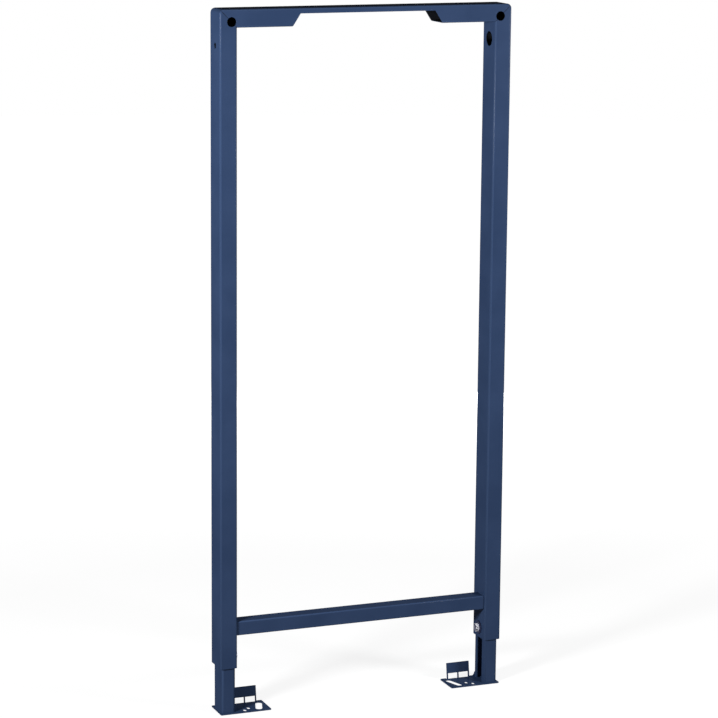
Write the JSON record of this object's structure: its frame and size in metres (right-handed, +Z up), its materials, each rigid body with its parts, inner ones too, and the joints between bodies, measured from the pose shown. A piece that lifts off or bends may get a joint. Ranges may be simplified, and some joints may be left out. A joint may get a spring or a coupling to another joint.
{
  "type": "wall hung toilet frame",
  "caption": "Open rectangular frame of powder coated steel tube on telescoping clamped feet with floor plates, which carries a wall hung toilet and its cistern.",
  "frame": {"origin": "on the floor, midway between the two feet and in the middle of the uprights' depth", "axes": "+Z up along the uprights, +X to the right seen from the front, +Y towards the wall behind"},
  "size_m": [0.52, 0.052, 1.196],
  "materials": {
    "powder_coat": "dark blue powder coat, satin, fine texture",
    "zinc": "bright zinc plate"
  },
  "bodies": {
    "left_foot": {"left_leg": "powder_coat", "left_foot_plate": "powder_coat"},
    "frame": {"top_rail": "powder_coat", "crossbar": "powder_coat", "left_upright": "powder_coat", "right_upright": "powder_coat", "left_clamp_washer": "zinc", "left_clamp_bolt": "zinc", "left_clamp_nut": "zinc", "right_clamp_washer": "zinc", "right_clamp_bolt": "zinc", "right_clamp_nut": "zinc"},
    "right_foot": {"right_leg": "powder_coat", "right_foot_plate": "powder_coat"}
  },
  "joints": [
    {"name": "left_leg_slide", "type": "slide", "parent": "left_foot", "child": "frame", "axis": [0, 0, 1], "range_m": [-0.065, 0.135]},
    {"name": "right_leg_slide", "type": "slide", "parent": "frame", "child": "right_foot", "axis": [0, 0, -1], "range_m": [-0.065, 0.135]}
  ]
}
